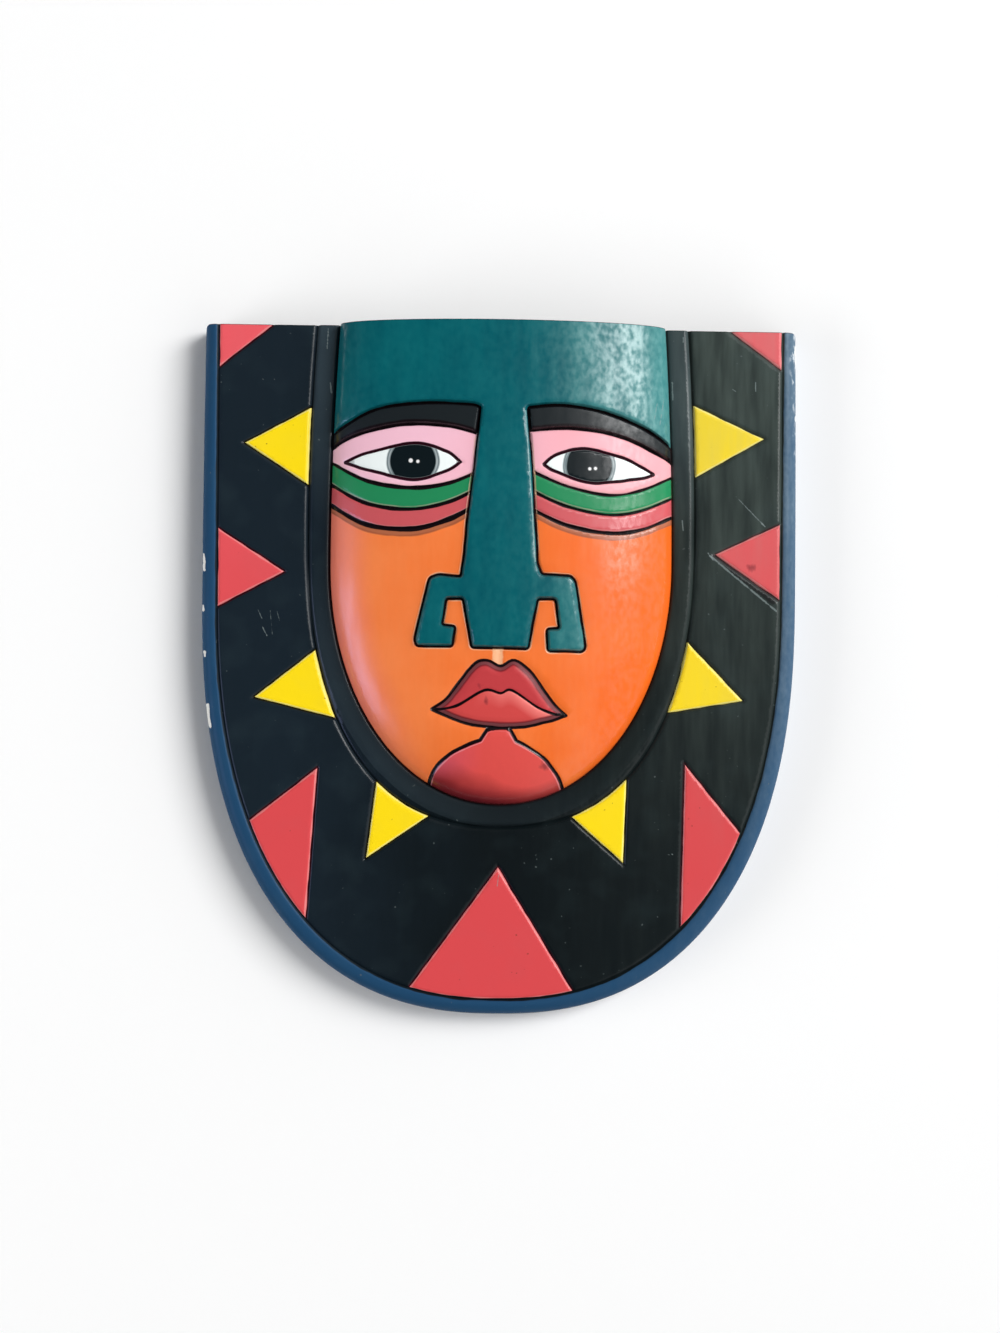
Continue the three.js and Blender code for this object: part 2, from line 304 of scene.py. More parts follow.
yellow_rays = [
    dict(feet=(-0.881, -0.766), tip=-0.859, reach=0.72),
    dict(feet=(-0.448, -0.320), tip=-0.492, reach=0.68),
    dict(feet=(-0.205, -0.107), tip=-0.185, reach=0.43),
    dict(feet=(0.110, 0.216), tip=0.175, reach=0.42),
    dict(feet=(0.334, 0.470), tip=0.492, reach=0.68),
    dict(feet=(0.781, 0.889), tip=0.871, reach=0.81),
]
red_rays = [
    dict(feet=(-1.040, -0.951), tip=-1.0, reach=0.56),
    dict(feet=(-0.774, -0.678), tip=-0.649, reach=0.75),
    dict(feet=(-0.370, -0.235), tip=-0.310, reach=0.70),
    dict(feet=(-0.097, 0.087), tip=0.0, reach=0.77),
    dict(feet=(0.225, 0.358), tip=0.324, reach=0.69),
    dict(feet=(0.694, 0.783), tip=0.689, reach=0.77),
    dict(feet=(0.952, 1.040), tip=1.0, reach=0.61),
]
ray_cut = (2.6, 1.2)


def between(turn, share):
    """Places at a share of the way from the band to the rim."""
    return band_line.at(turn) * (1 - share) + rim_line.at(turn) * share


def ray_outline(ray, standing, pointing):
    """Foot, tip, foot, and the U line back between the feet. Its two slanting sides are cut."""
    first, last = ray["feet"]
    tip = between(ray["tip"], standing + pointing * ray["reach"])
    for side in (first, last):
        cuts.append((np.array([between(side, standing), tip]), *ray_cut))
    base = between(np.linspace(last, first, 9), standing)
    return np.vstack([between(first, standing), tip, base[:-1]])


def span(path, x, y, near=9.0):
    """Distance to a path, at most `near`: each point is dropped at right angles on every straight
    piece, no further than its ends, and the least distance counts."""
    distance = np.full(x.shape, near)
    for first in range(0, len(path) - 1, 12):
        part = path[first:first + 13]
        low, high = part.min(0) - near, part.max(0) + near
        close = np.flatnonzero((x > low[0]) & (x < high[0]) & (y > low[1]) & (y < high[1]))
        px, py = x[close, None], y[close, None]
        start, run = part[:-1], np.diff(part, axis=0)
        along = (px - start[:, 0]) * run[:, 0] + (py - start[:, 1]) * run[:, 1]
        along = np.clip(along / np.maximum((run**2).sum(1), 1e-9), 0, 1)
        gap = np.hypot(px - start[:, 0] - along * run[:, 0], py - start[:, 1] - along * run[:, 1])
        distance[close] = np.minimum(distance[close], gap.min(1))
    return distance


def closed(path):
    """The path with its first point again at its end."""
    return np.vstack([path, path[:1]])


def outside(outline, x, y, near=9.0):
    """Distance outside a closed outline, negative inside, where a line to the right of the point
    crosses the outline an odd number of times."""
    path = closed(outline)
    low, high = path.min(0), path.max(0)
    box = np.flatnonzero((x > low[0]) & (x < high[0]) & (y > low[1]) & (y < high[1]))
    px, py = x[box], y[box]
    crossed = np.zeros(len(box), bool)
    for (ax, ay), (bx, by) in zip(path[:-1], path[1:]):
        if ay != by:
            crossed ^= ((ay > py) != (by > py)) & (px < ax + (py - ay) / (by - ay) * (bx - ax))
    distance = span(path, x, y, near)
    distance[box[crossed]] *= -1
    return distance


def nearest(outlines):
    """A measure: distance outside the nearest of some outlines."""
    return lambda x, y: np.minimum.reduce([outside(outline, x, y) for outline in outlines])


def line(distance, half_width, soft=0.3):
    """1 on a painted line of this half width."""
    return within(abs(distance) - half_width, soft)


yellow_outlines = [ray_outline(ray, 0.0, 1) for ray in yellow_rays]
red_outlines = [ray_outline(ray, 1.0, -1) for ray in red_rays]
measures["yellow"] = nearest(yellow_outlines)
measures["red"] = nearest(red_outlines)

on_field = within(measure("rim") + 0.9)
ray_yellow = shade(253, 221, 20)
red_low = shade(219, 75, 79)
red_high = shade(234, 92, 100)
ray_red = blend((up + cloud * 60).ramp(-20, 190), red_low, red_high)
# Each ray gets a dark outline, its colour, and inside that a thin light line: a painted highlight
# along the shoulder of its cut.
for name, outline_shade, colour, edge_glint in (
    ("yellow", shade(20, 18, 10), ray_yellow, shade(255, 248, 160)),
    ("red", shade(46, 8, 20), ray_red, shade(236, 150, 150)),
):
    paint = paint.under(outline_shade, within(measure(name) - 0.7).least(on_field))
    paint = paint.under(colour, within(measure(name) + 0.4).least(on_field))
    paint = paint.under(edge_glint, line(measure(name) + 0.8, 0.35).least(on_field) * 0.6)

# The face. A long dome, half an ellipse in section, that runs out through the top edge. Cheeks and
# jaw are orange. Its features are placed in percent: across, from the centre line to the widest
# edge, and up, from the chin to the top edge.

nose_lift = 3.0
face_rise = crest - board_thickness - nose_lift
face_line = ULine(
    face_width / 2, chin, waist=0.5, roundness=2.05, top_share=0.952, shift=face_shift
)
face_cut = (2.2, 0.9)
cuts.append((face_line.path(), *face_cut))
measures["face"] = face_line.outside


def on_face(points):
    """Places on the board of points given in percent of the face."""
    return np.asarray(points, float) * (face_width / 200, face_length / 100) + (face_shift, chin)


def dome(x, y):
    """Height over the field: the rise times the quarter circle of the share."""
    return face_rise * np.sqrt(np.clip(1 - face_line.share(x, y) ** 2, 0, 1))


on_skin = (measure("face") + 0.12).ramp(0.12, -0.12)
skin_deep = shade(241, 104, 24)
skin_light = shade(254, 137, 74)
reflected_rose = shade(240, 128, 124)
face_edge = shade(46, 16, 20)
skin = blend((cloud + brush * 0.3 - across * 0.006).ramp(-0.5, 0.5), skin_deep, skin_light)
# The left edge of the cheek is painted rose: a painted reflection of the bluish light from the
# left.
rose_reflection = measure("face").ramp(-26, -2) * (across + cloud * 30).ramp(-40, -80)
skin = skin.under(reflected_rose, rose_reflection * 0.6)
paint = paint.under(face_edge, within(measure("face") - 0.5))
paint = paint.under(skin, on_skin)

# Forehead and nose. One raised teal shape: the forehead down to the brows, the long bridge, and two
# stepped wings that turn back into hooks. Its edge is sloped and stands in a black cut.

left_brow_top = [
    (-104, 75.5), (-96, 77.4), (-73.2, 81.5), (-45.4, 82.7), (-19, 82.4), (-12.4, 81.8),
]
right_brow_top = [
    (14.6, 81.8), (30.7, 82.4), (46.5, 82), (60.4, 81), (77.3, 78.9), (89, 76.8), (104, 73.2),
]
left_nose = [
    (-16.3, 68.4), (-19.5, 59), (-21.2, 51.5), (-22.9, 47.2), (-35.9, 47.6), (-41, 46.9),
    (-49.4, 34.3), (-48.3, 32.9), (-27.4, 32.9), (-26, 37), (-33.7, 37.3), (-31.2, 42.6),
    (-21.5, 42.7), (-16.4, 32.7),
]
right_nose = [
    (15.9, 32.5), (21.1, 42.7), (31.4, 42.7), (33.8, 36.8), (26.5, 36.6), (27.4, 32.1),
    (47.2, 32), (49, 32.8), (42.7, 46.5), (40.1, 47.5), (23.4, 47.8), (21, 50.2),
    (18.4, 63.8), (16.7, 73.2),
]
nose_slope = 1.9
nose_cut = (3.0, 1.0)


def smooth(points, steps):
    """A smooth line through a few points: each piece leaves a point in the direction that joins
    that point's neighbours (a Catmull-Rom cubic)."""
    p = np.asarray(points, float)
    p = np.vstack([p[:1], p, p[-1:]])
    t = np.linspace(0, len(points) - 1, steps + 1)
    i = np.minimum(t.astype(int), len(points) - 2)
    f = (t - i)[:, None]
    a, b, c, d = p[i], p[i + 1], p[i + 2], p[i + 3]
    return b + f * ((c - a) + f * ((2 * a - 5 * b + 4 * c - d) + f * (3 * b - a - 3 * c + d))) / 2


def rounded(path, radius):
    """The path with each corner cut off a radius away from it, and what is left cut at half of
    that."""
    for cut in (radius, radius / 2):
        run = np.diff(path, axis=0)
        share = np.minimum(cut / np.hypot(*run.T), 0.33)[:, None]
        parts = np.stack([path[:-1] + run * share, path[1:] - run * share], axis=1).reshape(-1, 2)
        path = np.vstack([path[:1], parts[1:-1], path[-1:]])
    return path


nose_outline = rounded(on_face(np.vstack([
    [(-104, 110)], smooth(left_brow_top, 32), left_nose, right_nose, smooth(right_brow_top, 32),
    [(104, 110)],
])), 0.9)


def spaced(path, step):
    """The path with every straight piece parted evenly, no part longer than the step."""
    run = np.diff(path, axis=0)
    parts = np.maximum(np.ceil(np.hypot(*run.T) / step), 1).astype(int)
    piece = np.repeat(np.arange(len(run)), parts)
    within_piece = np.arange(parts.sum()) - np.repeat(np.cumsum(parts) - parts, parts)
    share = within_piece / parts[piece]
    return np.vstack([path[piece] + run[piece] * share[:, None], path[-1:]])


def on_cheek(path, gap=0.8):
    """The part of a path that lies on the dome, clear of its edge and of the nose."""
    path = spaced(path, 1.0)
    return path[(face_line.outside(*path.T) < -0.9) & (outside(nose_outline, *path.T) > gap)]


cuts.append((on_cheek(nose_outline[1:-1], gap=-1.0), *nose_cut))
lifts.append((nose_outline, nose_lift, nose_slope))
measures["nose"] = lambda x, y: outside(nose_outline, x, y)

line_black = shade(18, 10, 14)
streak = noise(8.0, pull=(1.0, 7.0, 1.0), detail=2.0, shift=6.0)
mottle = noise(2.8, pull=(1.0, 1.5, 1.0), detail=5.0, shift=9.0)
teal_deep = shade(0, 78, 90)
teal_light = shade(4, 108, 114)
teal = blend(
    (cloud * 0.6 + mottle * 0.6 + streak * 0.5).ramp(-0.35, 0.4), teal_deep, teal_light
)
paint = paint.under(line_black, within(measure("nose") - 0.9).least(on_skin))
on_teal = within(measure("nose") + 0.6).least(on_skin)
paint = paint.under(teal, on_teal)
cheek = on_skin.least(1 - within(measure("nose") - 0.5))

# The stripes. Three cut lines sag under each eye and part the pink lid, a green stripe and a red
# stripe from the cheek. A thin brown shade lies under the lowest line.

left_stripe = [(-104, 72.4), (-99, 71), (-78, 67), (-52, 65.4), (-30, 66.4), (-12, 69)]
left_lowest = [(-104, 63.6), (-99, 62.1), (-78, 58), (-52, 57), (-30, 59), (-12, 62.4)]
right_stripe = [(12, 70.2), (18.6, 68.7), (38, 65.9), (62, 64.3), (82, 65.7), (104, 69.4)]
right_lowest = [(12, 62.2), (18.6, 60.9), (38, 57.9), (62, 56.5), (82, 57.5), (104, 61)]
stripe_parting = 0.52
stripe_cut = (2.6, 1.2)
stripe_lines = [
    [
        on_face(smooth(np.add(first, (0, share) * np.subtract(lowest, first)), 40))
        for first, lowest in ((left_stripe, left_lowest), (right_stripe, right_lowest))
    ]
    for share in (0, stripe_parting, 1)
]
cuts += [(on_cheek(path), *stripe_cut) for pair in stripe_lines for path in pair]


def level(path, x):
    """Height of a path that runs from left to right, at each x."""
    return np.interp(x, path[:, 0], path[:, 1])


stripe_edges = []
for name, pair in zip(("first_line", "middle_line", "lowest_line"), stripe_lines):
    measures[name] = lambda x, y, pair=pair: level(np.vstack(pair), x) - y
    stripe_edges.append(measure(name))

pink_left = shade(252, 198, 216)
pink_right = shade(246, 170, 178)
lid_pink = blend((across + cloud * 60).ramp(-50, 70), pink_left, pink_right)
stripe_glint = shade(240, 196, 190)
stripe_green = shade(36, 138, 88)
stripe_red = shade(207, 89, 95)
stripe_shade = shade(164, 98, 70)
stripe_foot = shade(150, 78, 48)
paint = paint.under(stripe_shade, within(stripe_edges[2] - 4.4, 0.9).least(cheek) * 0.85)
paint = paint.under(stripe_foot, line(stripe_edges[2] - 4.0, 0.4, 0.8).least(cheek) * 0.6)
paint = paint.under(stripe_red, within(stripe_edges[2]).least(cheek))
paint = paint.under(stripe_green, within(stripe_edges[1]).least(cheek))
paint = paint.under(lid_pink, within(stripe_edges[0]).least(cheek))
for edge, half_width in zip(stripe_edges, (1.15, 1.15, 1.5)):
    paint = paint.under(stripe_glint, line(edge + 1.2, 0.3, 0.4).least(cheek) * 0.3)
    thin = half_width - across.ramp(-20, 70) * 0.35
    paint = paint.under(line_black, line(edge - 0.3, thin).least(cheek))

# The eyes. Each is an almond between two cut lids, painted white, with a large black iris in a
# grey ring, cropped by both lids, and two white dots.

left_lids = (
    [(-91.1, 70.8), (-78.4, 72.5), (-50.5, 74.4), (-32, 72.7), (-23.6, 70.6)],
    [(-91.1, 70.8), (-78.3, 69.3), (-51.4, 67.1), (-31.9, 68.8), (-23.6, 70.6)],
)
right_lids = (
    [(24.2, 70.2), (31, 72.2), (47.4, 73.5), (70.8, 71.7), (87.6, 68.8)],
    [(24.2, 70.2), (31.1, 68.8), (51, 66.7), (77.5, 67.7), (87.6, 68.8)],
)
irises = [
    dict(centre=(-51.1, 70.8), radius=12.9, dots=[(-52.3, 70.9, 1.15), (-48.2, 70.7, 0.9)]),
    dict(centre=(50.2, 70.1), radius=13.1, dots=[(50.5, 69.5, 0.9), (53.8, 69.6, 0.9)]),
]
lid_cut = (2.0, 0.9)
lid_overrun = 1.0


def overrun(path, length):
    """The path carried on at its last point: the tool runs a little past its mark."""
    way = path[-1] - path[-2]
    return np.vstack([path, path[-1] + way / np.hypot(*way) * length])


lid_paths = [[on_face(smooth(lid, 32)) for lid in lids] for lids in (left_lids, right_lids)]
cuts += [(overrun(lid, lid_overrun), *lid_cut) for lids in lid_paths for lid in lids]
almonds = [np.vstack([upper, lower[-2:0:-1]]) for upper, lower in lid_paths]
measures["eye"] = nearest(almonds)


def from_point(place):
    """Distance in the plan from a place on the face."""
    x, y = on_face(place)
    flat = Field.node("CombineXYZ", {}, {0: across - float(x), 1: up - float(y)})
    return Field.node("VectorMath", {"operation": "LENGTH"}, {0: flat}, output=1)


black = shade(12, 23, 27)
lid_line = shade(44, 8, 22)
eye_white = shade(247, 255, 254)
ring_grey = shade(112, 126, 130)
ring_light = shade(168, 178, 180)
dot_white = shade(245, 245, 245)
in_eye = within(measure("eye") + 0.8)
paint = paint.under(lid_line, within(measure("eye") - 1.1))
paint = paint.under(eye_white, in_eye)
for iris in irises:
    away = from_point(iris["centre"]) - iris["radius"]
    paint = paint.under(ring_grey, within(away - 2.2, 0.8).least(in_eye))
    paint = paint.under(ring_light, line(away - 0.9, 0.3, 0.6).least(in_eye))
    paint = paint.under(black, within(away, 0.4).least(in_eye))
    for x, y, radius in iris["dots"]:
        paint = paint.under(dot_white, (from_point((x, y)) - radius).ramp(0.3, -0.3))

# The brows. Two black arches between the pink lids and the forehead, left a little proud. A cut
# runs along their feet, and the middle of them is painted a dark grey.

brow_lift = 1.5
brow_slope = 1.6
brow_cut = (2.8, 1.3)
brow_grey = shade(28, 34, 37)
left_brow_foot = [(-104, 72.6), (-86.8, 76), (-58.4, 78.2), (-31.9, 77.9), (-14.4, 76.4)]
right_brow_foot = [(16, 77), (41.2, 77.6), (70.7, 75.9), (104, 70.6)]
brow_outlines = []
for brow_foot, brow_top in ((left_brow_foot, left_brow_top), (right_brow_foot, right_brow_top)):
    foot_path = on_face(smooth(brow_foot, 32))
    brow_outlines.append(np.vstack([foot_path, on_face(smooth(brow_top, 32))[::-1]]))
    cuts.append((on_cheek(foot_path), *brow_cut))
lifts += [(outline, brow_lift, brow_slope) for outline in brow_outlines]
measures["brow"] = nearest(brow_outlines)
brow_feet = on_face(np.vstack([smooth(left_brow_foot, 32), smooth(right_brow_foot, 32)]))
measures["brow_foot"] = lambda x, y: y - level(brow_feet, x)
paint = paint.under(line_black, within(measure("brow") - 0.7).least(on_skin - on_teal))
paint = paint.under(brow_grey, within(measure("brow") + 1.0).least(cheek))
paint = paint.under(line_black, line(measure("brow_foot") - 1.0, 1.7, 0.6).least(cheek))

# Lips and chin. The lips are one low cushion with a cut between them and a brown sloping edge.
# Under them a red patch runs down over the chin between two cut lines. A short gouge joins nose
# and lip.

lip_lift = 2.0
lip_slope = 5.0
lip_edge_cut = (2.4, 0.8)
mouth_cut = (1.9, 0.9)
philtrum_cut = (6.0, 0.9)
chin_cut = (2.0, 0.9)
upper_lip = [
    (-39.2, 20), (-29.3, 22.7), (-16.2, 28.9), (-8, 30.1), (0.2, 28.9), (8.5, 30.1),
    (18.7, 27.3), (30, 21.7), (38.2, 18.9),
]
lower_lip = [(38.2, 18.9), (20, 16.9), (0.5, 16.3), (-19.3, 17.2), (-39.2, 20)]
lip_line = [
    (-33.9, 20), (-23.9, 20.9), (-8.9, 24), (0.4, 23.4), (6.9, 24), (22, 20.5), (32, 19.1),
]
chin_left = [(-11.2, 13.7), (-20, 12.4), (-30.5, 10.2), (-40.2, 5.6), (-44, -4)]
chin_right = [(9.8, 13.6), (18, 12), (27.5, 9.4), (37, 3.7), (40, -6)]
neck_tops = [(-6.8, 16.2), (5.8, 16.2)]
lip_outline = on_face(np.vstack([smooth(upper_lip, 40), smooth(lower_lip, 24)[1:-1]]))
lip_path = on_face(smooth(lip_line, 36))
chin_paths = [
    on_face(np.vstack([[neck_top], smooth(side, 24)]))
    for neck_top, side in zip(neck_tops, (chin_left, chin_right))
]
chin_outline = np.vstack([chin_paths[0], chin_paths[1][::-1]])
philtrum = on_face([(0, 32.2), (-0.2, 29.3)])
cuts += [
    (closed(lip_outline), *lip_edge_cut), (lip_path, *mouth_cut), (philtrum, *philtrum_cut),
]
cuts += [(on_cheek(path), *chin_cut) for path in chin_paths]
lifts.append((lip_outline, lip_lift, lip_slope))
measures["lips"] = lambda x, y: outside(lip_outline, x, y)
measures["lip_line"] = lambda x, y: y - level(lip_path, x)
measures["chin"] = lambda x, y: outside(chin_outline, x, y)
lips = measure("lips")
upper_side = within(0 - measure("lip_line"))

chin_shaded = shade(112, 26, 36)
chin_bright = shade(226, 82, 76)
chin_sheen_lilac = shade(206, 92, 122)
chin_shadow = shade(96, 18, 26)
chin_glint_pink = shade(240, 168, 176)
# The red is painted darker towards the bottom and the left, a painted shade where the dome turns
# down; a painted lilac sheen lies on its upper left, and a painted shadow along its foot.
chin_climb = (up + across * 0.25 + cloud * 20).ramp(chin - 2, chin + 18)
chin_sheen = across.ramp(-8, -34) * up.ramp(chin + 14, chin + 24)
chin_red = blend(chin_climb, chin_shaded, chin_bright)
chin_red = chin_red.under(chin_sheen_lilac, chin_sheen * 0.45)
chin_red = chin_red.under(chin_shadow, measure("face").ramp(-9, -1) * 0.6)
# A thin pale line inside the patch's edge is a painted highlight on the ridge of its cut.
chin_glint = line(measure("chin") + 1.6, 0.3).least(on_skin) * lips.ramp(1.5, 4)
paint = paint.under(line_black, within(measure("chin") - 1.0).least(on_skin))
paint = paint.under(chin_red, within(measure("chin") + 1.1).least(on_skin))
paint = paint.under(chin_glint_pink, chin_glint * 0.45)

lip_brown = shade(124, 66, 70)
lip_shade = shade(120, 36, 44)
upper_red = shade(194, 64, 68)
lower_deep = shade(210, 74, 72)
lower_bright = shade(244, 130, 124)
paint = paint.under(line_black, within(lips - 1.0))
paint = paint.under(lip_brown, within(lips + 0.7))
paint = paint.under(lip_shade, within(lips + 2.3, 0.6))
lower_lit = measure("lip_line").ramp(-9, -1) * across.ramp(-14, 14)
lip_red = blend(lower_lit, lower_deep, lower_bright).under(upper_red, upper_side)
paint = paint.under(lip_red, within(lips + 3.1, 1.0))
paint = paint.under(line_black, line(measure("lip_line"), 0.8).least(within(lips)))

# Wear, and light painted into the enamel. The enamel has chipped off the rim to its pale ground,
# the black is scratched and dusty, and dark specks have settled in the bright colours. A painted
# sheen lightens the black, band and rim towards the lights; painted highlights lie on the forehead
# and nose, and a painted highlight and shade along the cut under the right red ray. Places of
# scratches and chips are millimetres on the board, and those of smudges are percent of the face.


def from_stroke(start, end):
    """Distance in the plan from a straight stroke: the way from its start, less its share along the
    stroke, which is clipped at both ends."""
    run = np.subtract(end, start)
    way = Field.node("CombineXYZ", {}, {0: across - start[0], 1: up - start[1]})
    along = Field.node("VectorMath", {"operation": "DOT_PRODUCT"}, {
        0: way, 1: (*(run / (run @ run)).tolist(), 0.0),
    }, output=1)
    foot_point = Field.node("VectorMath", {"operation": "SCALE"}, {
        0: (*run.tolist(), 0.0), "Scale": along.ramp(0, 1),
    })
    rest = Field.node("VectorMath", {"operation": "SUBTRACT"}, {0: way, 1: foot_point})
    return Field.node("VectorMath", {"operation": "LENGTH"}, {0: rest}, output=1)


field_sheen = shade(148, 168, 158)
band_sheen = shade(122, 144, 156)
rim_sheen = shade(158, 176, 190)
rim_scuff = shade(220, 226, 230)
faint_green = shade(92, 118, 122)
# Towards the right, and most towards the top, the black, the rays and the rim are painted lighter
# along the brush streaks: a painted sheen of the light from the right.
right_sheen = across.ramp(10, 130) * (up.ramp(-120, 190) * 0.9 + 0.1)
right_sheen = right_sheen * (streak * 1.4 + brush * 0.6 + 0.8) * (1 - on_skin)
on_band = within(measure("face") - band_width) * (1 - on_skin)
# The band is painted lighter on its left, its upper right and its foot: a painted sheen where its
# crown catches the lights.
band_sheen_share = across.ramp(0, -60) * ((across + up).ramp(-20, 60) + up.ramp(60, 15) * 0.44)
band_sheen_share = band_sheen_share + across.ramp(20, 70) * up.ramp(80, 150) * 0.9 + up.ramp(-60, -90) * 0.26
paint = paint.under(field_sheen, right_sheen * 0.18)
paint = paint.under(band_sheen, on_band * band_sheen_share * 0.12)
paint = paint.under(rim_sheen, right_sheen * on_rim * (0.8 + mottle * 2) * 0.28)
scuff = (mottle + brush * 0.3).ramp(0.04, 0.14) * (measure("edge") + up * 0.05).ramp(4, 8)
scuff = scuff * across.ramp(150, 160)
on_round = (height + mottle * 8).ramp(15, 18)
paint = paint.under(rim_scuff, scuff * on_round * 0.75)
patch = noise(24.0, detail=2.0, shift=12.0)
paint = paint.under(faint_green, patch.ramp(0.0, 0.25) * (1 - on_skin) * 0.035)

highlight_teal = shade(130, 205, 196)
glint_grey = shade(150, 190, 190)
# The right part of the teal is painted paler and greener in patches: a painted highlight where the
# light from the right falls on forehead and nose.
teal_highlight = (across + streak * 30).ramp(20, 72) * (0.9 + mottle) * on_teal
paint = paint.under(highlight_teal, teal_highlight * 0.3)
# Pale grey strokes down the right edge of the bridge: a painted glint on the slope that faces the
# light.
nose_glints = [((13.3, 81), (17.0, 64)), ((17.0, 64), (19.6, 50.4))]
for start, end in nose_glints:
    glint = from_stroke(on_face(start), on_face(end)) + abs(mottle)
    paint = paint.under(glint_grey, glint.ramp(0.6, 0.3) * 0.55)

smudge_brown = shade(96, 34, 44)
smudges = [((26, 8.6), 3.6), ((146, 50), 2.8), ((-8, 21.8), 1.7), ((-11.8, 24.9), 1.6)]
smudge_fade = 2.6
for place, wide in smudges:
    smudge = (from_point(place) + mottle * 6 + brush * 3).ramp(wide, wide - smudge_fade)
    paint = paint.under(smudge_brown, smudge * 0.6)

rubbed_edge = shade(255, 206, 168)
gouge_pale = shade(253, 200, 156)
nose_halo = line(measure("nose") - 1.2, 0.25).least(cheek) * measure("brow").ramp(1.4, 1.8)
paint = paint.under(rubbed_edge, nose_halo * 0.5)
# The gouge is painted paler, a little to the left of its middle.
gouge_start, gouge_end = philtrum - (1.2, 0)
in_gouge = (from_stroke(gouge_start, gouge_end) + mottle * 2).ramp(3.4, 2.6) * cheek
paint = paint.under(gouge_pale, in_gouge * (1 - within(lips - 1.0)) * 0.75)

speck_brown = shade(110, 50, 30)
speck_grey = shade(96, 106, 106)
speck = noise(2.2, detail=0.0, shift=18.0).ramp(0.31, 0.35) * patch.ramp(-0.02, 0.08)
on_ray = within(measure("yellow") + 0.4).most(within(measure("red") + 0.4)).least(on_field)
paint = paint.under(speck_brown, speck * on_ray * 0.6)
paint = paint.under(speck_grey, speck * (1 - on_ray) * (1 - on_skin) * 0.5)

scratch_and_glint_grey = shade(132, 146, 146)
scratches_and_glint = [
    ((-139.6, 34.6), (-137.0, 29.0), 0.2), ((-136.8, 24.4), (-134.2, 19.4), 0.3),
    ((-132.4, 34.0), (-131.0, 20.0), 0.1), ((-128.4, 33.4), (-126.6, 27.0), 0.1),
    ((137.4, 102.1), (154.0, 85.1), 0.25), ((151.5, 87.8), (154.2, 85.0), 0.5),
    ((94.0, 157.0), (91.6, 141.7), 0.25), ((90.0, 155.0), (88.4, 145.0), 0.2),
    ((121.2, 69.5), (124.2, 65.4), 0.3), ((-100.0, 197.5), (-100.6, 186.0), 0.3),
    ((-98.6, 166.0), (-97.8, 160.5), 0.5), ((1.5, -118.0), (0.5, -126.0), 0.3),
    ((148.0, 168.5), (148.0, 163.5), 0.3), ((134.8, 164.4), (136.6, 163.2), 0.2),
    ((99.5, 168.0), (99.9, 158.0), 0.5), ((105.6, 194.0), (105.7, 191.5), 0.4),
    ((106.0, 88.0), (106.6, 82.2), 0.3), ((99.6, -105.6), (100.2, -105.8), 0.3),
    # The long stroke from (122.4, 67.8) to (161.0, 36.2) is a painted highlight on the lit wall of
    # the cut below the right red ray.
    ((122.4, 67.8), (161.0, 36.2), 0.55), ((101.8, -105.4), (102.2, -105.6), 0.3),
]
# A black stroke beside the lower edge of the right red ray: painted shade of a cut wider than the
# one carved.
wide_cut_shade = (from_stroke((124.7, 67.4), (159.2, 41.3)) + mottle).ramp(1.5, 1.0) * (1 - on_ray)
paint = paint.under(line_black, wide_cut_shade * 0.6)
for start, end, half_width in scratches_and_glint:
    scratch_and_glint = (from_stroke(start, end) + abs(mottle) * 2.5).ramp(half_width + 0.2, half_width - 0.1)
    paint = paint.under(scratch_and_glint_grey, scratch_and_glint * 0.6)

pale_ground = shade(236, 236, 232)
chips = [
    ((-171.9, 66.5), (-171.7, 57.5), 0.8), ((-171.8, 36.5), (-171.7, 34.0), 0.6),
    ((-170.8, 9.5), (-170.7, 7.5), 0.6), ((-169.0, -21.5), (-167.4, -33.5), 1.1),
    ((171.6, 190.0), (172.0, 178.0), 0.4), ((172.2, 150.0), (172.2, 147.0), 0.3),
]
for start, end, half_width in chips:
    chip = (from_stroke(start, end) + mottle * 3.0).ramp(half_width + 0.15, half_width - 0.15)
    paint = paint.under(pale_ground, chip * on_round)

# The back and the top end. An oval bowl is scooped out behind the face, which keeps the mask light.
# The back is bare wood with the marks of a wide gouge, and the sawn top end is plain black.

side_wall = 14.0
top_wall = 22.0
hollow_roof = 14.0
hollow_depth = board_thickness + face_rise - hollow_roof
hollow_roundness = 2.4
gouge_width = 11.0
gouge_depth = 0.45
hollow_low = chin + side_wall
hollow_high = top - top_drop - top_wall
hollow_middle = (hollow_low + hollow_high) / 2
hollow_half = np.array([face_width / 2 - side_wall, (hollow_high - hollow_low) / 2])


def hollow_share(x, y):
    """0 in the middle of the hollow and 1 at its edge: a superellipse."""
    aside = np.abs(x - face_shift) / hollow_half[0]
    along = np.abs(y - hollow_middle) / hollow_half[1]
    return (aside**hollow_roundness + along**hollow_roundness) ** (1 / hollow_roundness)


def hollow_ring(share):
    """The closed line at a share of the hollow."""
    angle = np.linspace(0, 2 * np.pi, 181)
    way = np.column_stack([np.cos(angle), np.sin(angle)])
    return (face_shift, hollow_middle) + share * hollow_half * np.sign(way) * np.abs(way) ** (
        2 / hollow_roundness
    )


def ease(value):
    """0 below 0, 1 above 1, and an S between: three squares less two cubes."""
    value = np.clip(value, 0, 1)
    return value * value * (3 - 2 * value)


def back_height(x, y):
    """Height of the hollow over the flat back: its depth times the quarter circle of the share,
    less the ridges left between gouge strokes, which are the absolute value of a sine."""
    bowl = np.sqrt(np.clip(1 - hollow_share(x, y) ** 2, 0, 1))
    stroke = x + 3 * np.sin(y / 31) + 2 * np.sin(y / 13 + x / 40)
    glint = 1 - np.abs(np.sin(np.pi * stroke / gouge_width))
    return hollow_depth * bowl - gouge_depth * glint * ease(bowl * 2)


